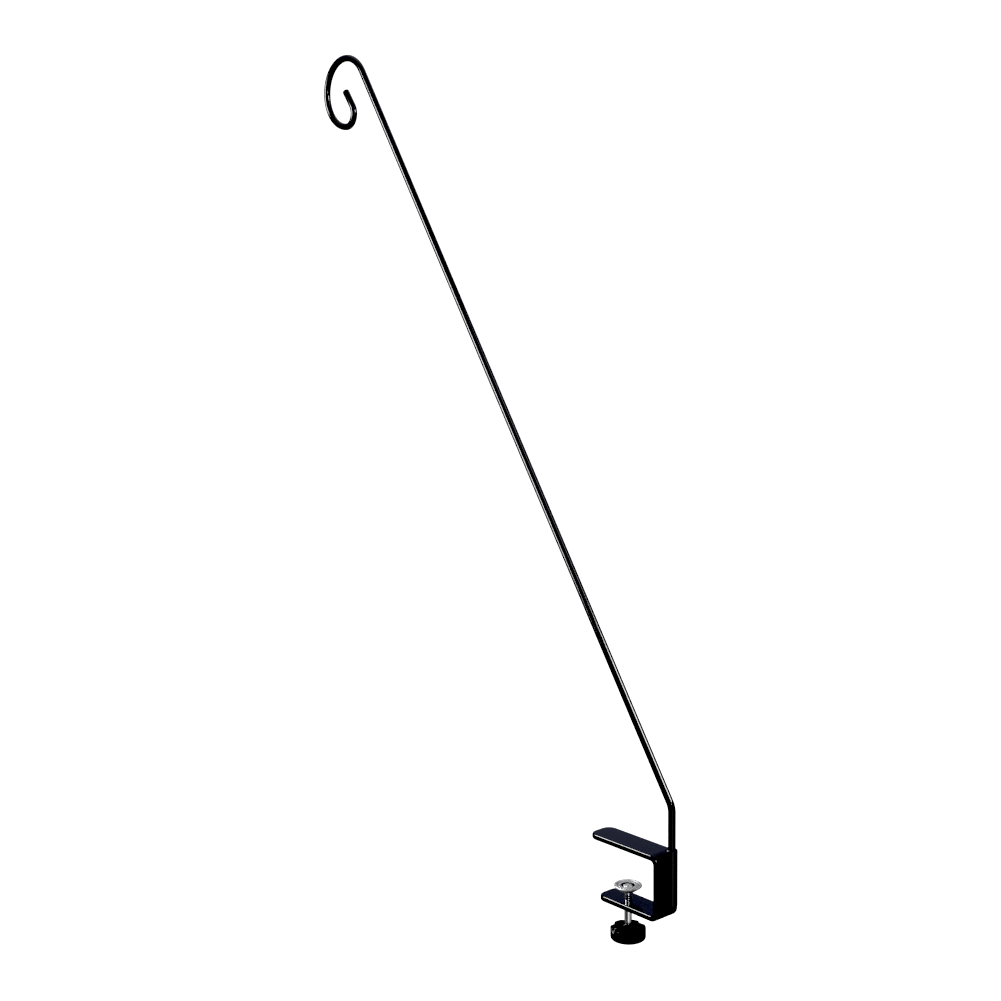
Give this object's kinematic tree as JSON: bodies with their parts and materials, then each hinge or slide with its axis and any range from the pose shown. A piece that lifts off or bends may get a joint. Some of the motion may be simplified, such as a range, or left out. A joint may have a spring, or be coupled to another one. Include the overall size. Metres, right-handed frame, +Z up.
{
  "type": "deck rail hook",
  "caption": "Clamp-on deck rail hook: leaning round-rod pole with a looped hook, swivelling in a sleeve on a C-shaped strip clamp tightened by a hand screw with a swivel pad.",
  "frame": {"origin": "on the underside of the upper jaw, on the axis of the clamp screw, where the rail is seated", "axes": "+X along the jaws towards the web and the pole, +Y across the strip, +Z up along the clamp screw and the foot of the pole"},
  "size_m": [0.5874, 0.038, 0.9655],
  "materials": {
    "black_paint": "glossy black paint on steel",
    "bright_plate": "bright plated steel",
    "black_knob": "glossy black moulded plastic"
  },
  "bodies": {
    "clamp": {"clamp_bracket": "black_paint", "pole_sleeve": "black_paint", "sleeve_floor": "black_paint", "sleeve_welds": "black_paint"},
    "hook_pole": {"pole": "black_paint"},
    "pad": {"swivel_pad": "bright_plate"},
    "hand_screw": {"clamp_screw": "bright_plate", "screw_knob": "black_knob"}
  },
  "joints": [
    {"name": "pole_swivel", "type": "hinge", "parent": "clamp", "child": "hook_pole", "pos_m": [0.063, 0, 0], "axis": [0, 0, 1], "continuous": true},
    {"name": "pad_travel", "type": "slide", "parent": "clamp", "child": "pad", "axis": [0, 0, 1], "range_m": [-0.0082, 0.0208]},
    {"name": "screw_turn", "type": "hinge", "parent": "pad", "child": "hand_screw", "pos_m": [0, 0, -0.06], "axis": [0, 0, 1], "range_deg": [-2360, 5990]}
  ],
  "couplings": [
    {"joint": "pad_travel", "follows": "screw_turn", "m_per_rad": 0.00019894}
  ]
}
